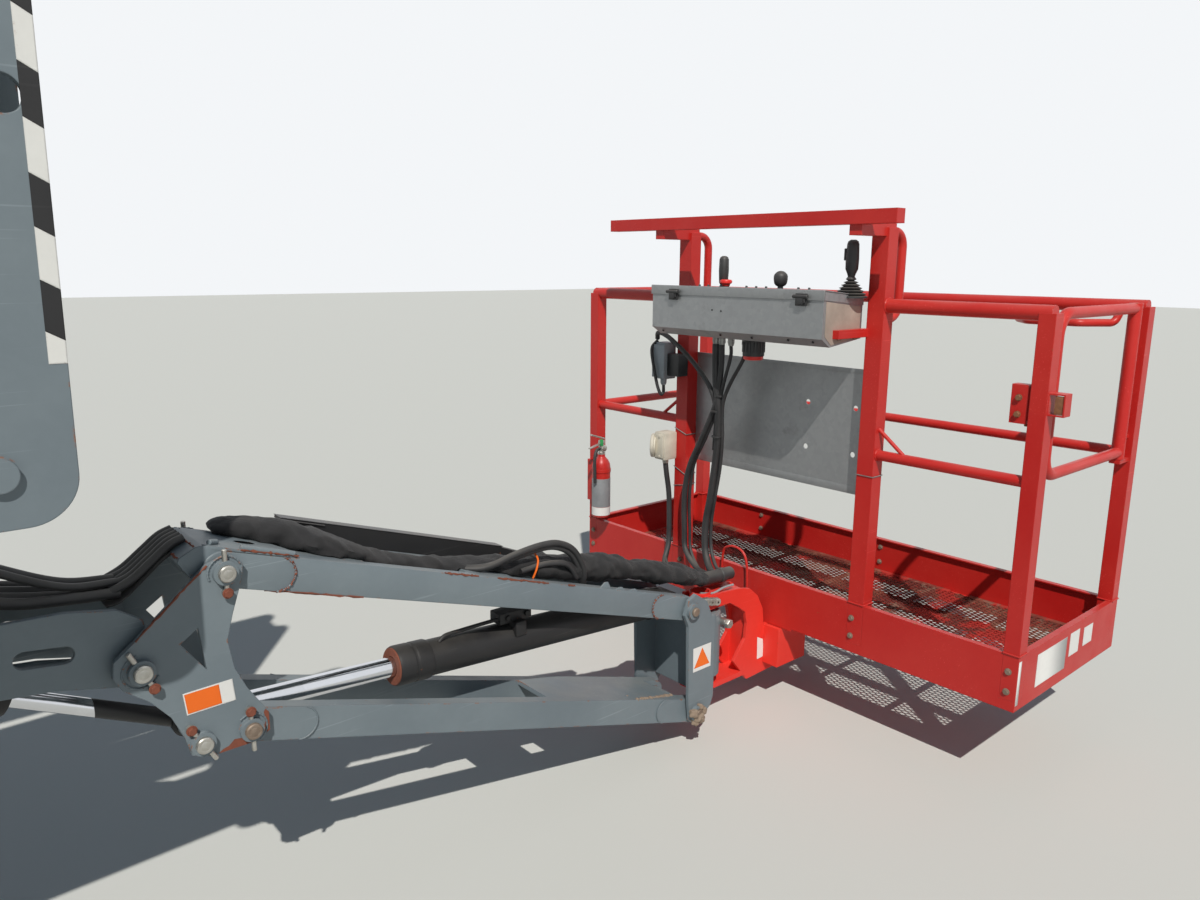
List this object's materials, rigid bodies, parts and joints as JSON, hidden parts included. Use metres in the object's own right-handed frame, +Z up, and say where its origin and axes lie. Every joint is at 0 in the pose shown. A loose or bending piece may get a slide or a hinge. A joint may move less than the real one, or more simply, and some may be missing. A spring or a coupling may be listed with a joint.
{
  "type": "articulating boom lift",
  "caption": "Self-propelled work platform on a four-wheel chassis, with a turntable, a folding riser, a telescoping boom and a levelled jib that carries a railed platform.",
  "frame": {"origin": "on the ground, at the middle of the overall length and width", "axes": "+X forward to the platform, +Y to the machine's left, +Z up"},
  "size_m": [6.7, 2.129, 2.015],
  "materials": {
    "grey_paint": "worn grey enamel with rust at the edges",
    "red_paint": "worn red enamel, scuffed along rails and kick plates",
    "black_paint": "satin black enamel",
    "chrome_rod": "hard chrome, polished",
    "tyre": "black rubber, dusty",
    "rim_paint": "light grey enamel",
    "engine_iron": "plain block standing for the engine",
    "galvanised": "dull zinc-coated sheet",
    "sleeve_fabric": "black woven hose sleeve",
    "floor_mesh": "expanded metal with worn paint and rust",
    "black_plastic": "moulded black",
    "extinguisher_paint": "red enamel over a steel bottle",
    "outlet_plastic": "weathered beige",
    "cable_rubber": "black rubber sheath"
  },
  "bodies": {
    "chassis": {"chassis_frame": "grey_paint", "slew_bearing": "grey_paint", "front_axle": "grey_paint", "rear_axle": "grey_paint"},
    "knuckle_left": {"steering_knuckle_left": "grey_paint"},
    "knuckle_right": {"steering_knuckle_right": "grey_paint"},
    "steer_link": {"steering_link": "grey_paint"},
    "wheel_front_left": {"tyre_front_left": "tyre", "wheel_rim_front_left": "rim_paint"},
    "wheel_front_right": {"tyre_front_right": "tyre", "wheel_rim_front_right": "rim_paint"},
    "wheel_rear_left": {"tyre_rear_left": "tyre", "wheel_rim_rear_left": "rim_paint"},
    "wheel_rear_right": {"tyre_rear_right": "tyre", "wheel_rim_rear_right": "rim_paint"},
    "turret": {"turntable": "grey_paint", "hood_hinge_frames": "grey_paint", "riser_foot_brackets": "grey_paint", "counterweight": "black_paint", "engine_block": "engine_iron", "hydraulic_tank": "black_paint", "ground_control_box": "galvanised"},
    "engine_hood": {"engine_hood": "grey_paint"},
    "tank_hood": {"tank_hood": "grey_paint"},
    "lower_arms": {"riser_lower_arms": "grey_paint"},
    "lower_ties": {"riser_lower_ties": "grey_paint"},
    "mid_links": {"riser_mid_links": "grey_paint"},
    "upper_arms": {"riser_upper_arms": "grey_paint"},
    "upper_ties": {"riser_upper_ties": "grey_paint"},
    "upright": {"upright": "grey_paint"},
    "riser_barrels": {"riser_cylinder_barrels": "black_paint"},
    "riser_rods": {"riser_cylinder_rods": "chrome_rod"},
    "boom": {"boom_base": "grey_paint"},
    "fly": {"boom_fly": "grey_paint"},
    "lift_barrel": {"lift_cylinder_barrel": "black_paint"},
    "lift_rod": {"lift_cylinder_rod": "chrome_rod"},
    "jib_bracket": {"jib_bracket": "grey_paint"},
    "level_barrel": {"level_cylinder_barrel": "black_paint"},
    "level_rod": {"level_cylinder_rod": "chrome_rod"},
    "jib_upper_arm": {"jib_upper_arm": "grey_paint", "jib_hose_tray": "black_paint", "jib_hose_sleeve": "sleeve_fabric"},
    "jib_lower_arm": {"jib_lower_arm": "grey_paint"},
    "jib_barrel": {"jib_cylinder_barrel": "black_paint"},
    "jib_rod": {"jib_cylinder_rod": "chrome_rod"},
    "jib_head": {"jib_head": "grey_paint", "platform_rotator": "grey_paint"},
    "platform": {"platform_support": "red_paint", "platform_base": "red_paint", "platform_frame": "red_paint", "platform_floor": "floor_mesh", "control_box": "galvanised", "control_levers": "black_plastic", "equipment_panel": "galvanised", "fire_extinguisher": "extinguisher_paint", "outlet_box": "outlet_plastic", "control_cables": "cable_rubber"},
    "gate": {"platform_gate": "red_paint"}
  },
  "joints": [
    {"name": "steer_left", "type": "hinge", "parent": "chassis", "child": "knuckle_left", "pos_m": [-0.96, 0.7, 0.4], "axis": [0, 0, 1], "range_deg": [-30, 30]},
    {"name": "steer_right", "type": "hinge", "parent": "chassis", "child": "knuckle_right", "pos_m": [-0.96, -0.7, 0.4], "axis": [0, 0, 1], "range_deg": [-30, 30]},
    {"name": "steer_link_shift", "type": "slide", "parent": "chassis", "child": "steer_link", "axis": [0, 1, 0], "range_m": [-0.08, 0.08]},
    {"name": "wheel_spin_front_left", "type": "hinge", "parent": "knuckle_left", "child": "wheel_front_left", "pos_m": [-0.96, 0.92, 0.4], "axis": [0, 1, 0], "continuous": true},
    {"name": "wheel_spin_front_right", "type": "hinge", "parent": "knuckle_right", "child": "wheel_front_right", "pos_m": [-0.96, -0.92, 0.4], "axis": [0, 1, 0], "continuous": true},
    {"name": "wheel_spin_rear_left", "type": "hinge", "parent": "chassis", "child": "wheel_rear_left", "pos_m": [-2.94, 0.92, 0.4], "axis": [0, 1, 0], "continuous": true},
    {"name": "wheel_spin_rear_right", "type": "hinge", "parent": "chassis", "child": "wheel_rear_right", "pos_m": [-2.94, -0.92, 0.4], "axis": [0, 1, 0], "continuous": true},
    {"name": "slew", "type": "hinge", "parent": "chassis", "child": "turret", "pos_m": [-1.95, 0, 0.8], "axis": [0, 0, 1], "range_deg": [-180, 180]},
    {"name": "engine_hood_lift", "type": "hinge", "parent": "turret", "child": "engine_hood", "pos_m": [-1.95, 0.472, 1.552], "axis": [1, 0, 0], "range_deg": [0, 60]},
    {"name": "tank_hood_lift", "type": "hinge", "parent": "turret", "child": "tank_hood", "pos_m": [-1.95, -0.472, 1.552], "axis": [-1, 0, 0], "range_deg": [0, 60]},
    {"name": "riser_lift", "type": "hinge", "parent": "turret", "child": "lower_arms", "pos_m": [-2.77, 0, 1.1], "axis": [0, -1, 0], "range_deg": [0, 68]},
    {"name": "lower_tie_swing", "type": "hinge", "parent": "turret", "child": "lower_ties", "pos_m": [-2.92, 0, 1.3], "axis": [0, -1, 0], "range_deg": [0, 68]},
    {"name": "mid_link_level", "type": "hinge", "parent": "lower_arms", "child": "mid_links", "pos_m": [0.424, 0, 1.227], "axis": [0, -1, 0], "range_deg": [-68, 0]},
    {"name": "upper_arm_swing", "type": "hinge", "parent": "mid_links", "child": "upper_arms", "pos_m": [0.45, 0, 1.9], "axis": [0, -1, 0], "range_deg": [-68, 0]},
    {"name": "upper_tie_swing", "type": "hinge", "parent": "mid_links", "child": "upper_ties", "pos_m": [0.3, 0, 1.7], "axis": [0, -1, 0], "range_deg": [-68, 0]},
    {"name": "upright_level", "type": "hinge", "parent": "upper_arms", "child": "upright", "pos_m": [-2.74, 0, 1.93], "axis": [0, -1, 0], "range_deg": [0, 68]},
    {"name": "riser_barrel_swing", "type": "hinge", "parent": "lower_arms", "child": "riser_barrels", "pos_m": [-0.87497, 0, 1.17535], "axis": [0, -1, 0], "range_deg": [-24, 0]},
    {"name": "riser_rod_slide", "type": "slide", "parent": "riser_barrels", "child": "riser_rods", "axis": [0.8013, 0, 0.5983], "range_m": [0, 1.05]},
    {"name": "boom_lift", "type": "hinge", "parent": "upright", "child": "boom", "pos_m": [-3, 0, 1.88], "axis": [0, -1, 0], "range_deg": [0, 86]},
    {"name": "boom_telescope", "type": "slide", "parent": "boom", "child": "fly", "axis": [0.9612, 0, -0.2758], "range_m": [0, 2.2]},
    {"name": "lift_barrel_swing", "type": "hinge", "parent": "upright", "child": "lift_barrel", "pos_m": [-2.76, 0, 1.48], "axis": [0, -1, 0], "range_deg": [0, 86]},
    {"name": "lift_rod_slide", "type": "slide", "parent": "lift_barrel", "child": "lift_rod", "axis": [0.9898, 0, -0.1423], "range_m": [0, 0.65]},
    {"name": "jib_bracket_level", "type": "hinge", "parent": "fly", "child": "jib_bracket", "pos_m": [0.64522, 0, 0.7522], "axis": [0, -1, 0], "range_deg": [-86, 0]},
    {"name": "level_barrel_swing", "type": "hinge", "parent": "fly", "child": "level_barrel", "pos_m": [0.02066, 0, 0.92602], "axis": [0, -1, 0], "range_deg": [-7, 0]},
    {"name": "level_rod_slide", "type": "slide", "parent": "level_barrel", "child": "level_rod", "axis": [0.8961, 0, -0.4438], "range_m": [-0.28, 0]},
    {"name": "jib_lift", "type": "hinge", "parent": "jib_bracket", "child": "jib_upper_arm", "pos_m": [0.81322, 0, 0.9142], "axis": [0, -1, 0], "range_deg": [-37, 78]},
    {"name": "jib_lower_swing", "type": "hinge", "parent": "jib_bracket", "child": "jib_lower_arm", "pos_m": [0.84122, 0, 0.5642], "axis": [0, -1, 0], "range_deg": [-37, 78]},
    {"name": "jib_head_level", "type": "hinge", "parent": "jib_upper_arm", "child": "jib_head", "pos_m": [2.182, 0, 0.48], "axis": [0, -1, 0], "range_deg": [-78, 37]},
    {"name": "jib_barrel_swing", "type": "hinge", "parent": "jib_upper_arm", "child": "jib_barrel", "pos_m": [2.182, 0, 0.48], "axis": [0, -1, 0], "range_deg": [-7.2, 3.5]},
    {"name": "jib_rod_slide", "type": "slide", "parent": "jib_barrel", "child": "jib_rod", "axis": [-0.998, 0, 0.0627], "range_m": [-0.21, 0.41]},
    {"name": "platform_rotate", "type": "hinge", "parent": "jib_head", "child": "platform", "pos_m": [2.35, 0, 0.3], "axis": [0, 0, 1], "range_deg": [-90, 90]},
    {"name": "gate_swing", "type": "hinge", "parent": "platform", "child": "gate", "pos_m": [3.255, -0.8925, 1.18], "axis": [0, 0, -1], "range_deg": [0, 80]}
  ],
  "couplings": [
    {"joint": "steer_right", "follows": "steer_left", "ratio": 1},
    {"joint": "steer_link_shift", "follows": "steer_left", "m_per_rad": -0.15},
    {"joint": "lower_tie_swing", "follows": "riser_lift", "ratio": 1},
    {"joint": "mid_link_level", "follows": "riser_lift", "ratio": -1},
    {"joint": "upper_arm_swing", "follows": "riser_lift", "ratio": -1},
    {"joint": "upper_tie_swing", "follows": "riser_lift", "ratio": -1},
    {"joint": "upright_level", "follows": "riser_lift", "ratio": 1},
    {"joint": "riser_barrel_swing", "follows": "riser_lift", "ratio": -0.34353},
    {"joint": "riser_rod_slide", "follows": "riser_lift", "m_per_rad": 0.8687},
    {"joint": "lift_barrel_swing", "follows": "boom_lift", "ratio": 0.98023},
    {"joint": "lift_rod_slide", "follows": "boom_lift", "m_per_rad": 0.42339},
    {"joint": "jib_bracket_level", "follows": "boom_lift", "ratio": -1},
    {"joint": "level_barrel_swing", "follows": "boom_lift", "ratio": -0.070698},
    {"joint": "level_rod_slide", "follows": "boom_lift", "m_per_rad": -0.18375},
    {"joint": "jib_lower_swing", "follows": "jib_lift", "ratio": 1},
    {"joint": "jib_head_level", "follows": "jib_lift", "ratio": -1},
    {"joint": "jib_barrel_swing", "follows": "jib_lift", "ratio": -0.09},
    {"joint": "jib_rod_slide", "follows": "jib_lift", "m_per_rad": 0.29}
  ]
}
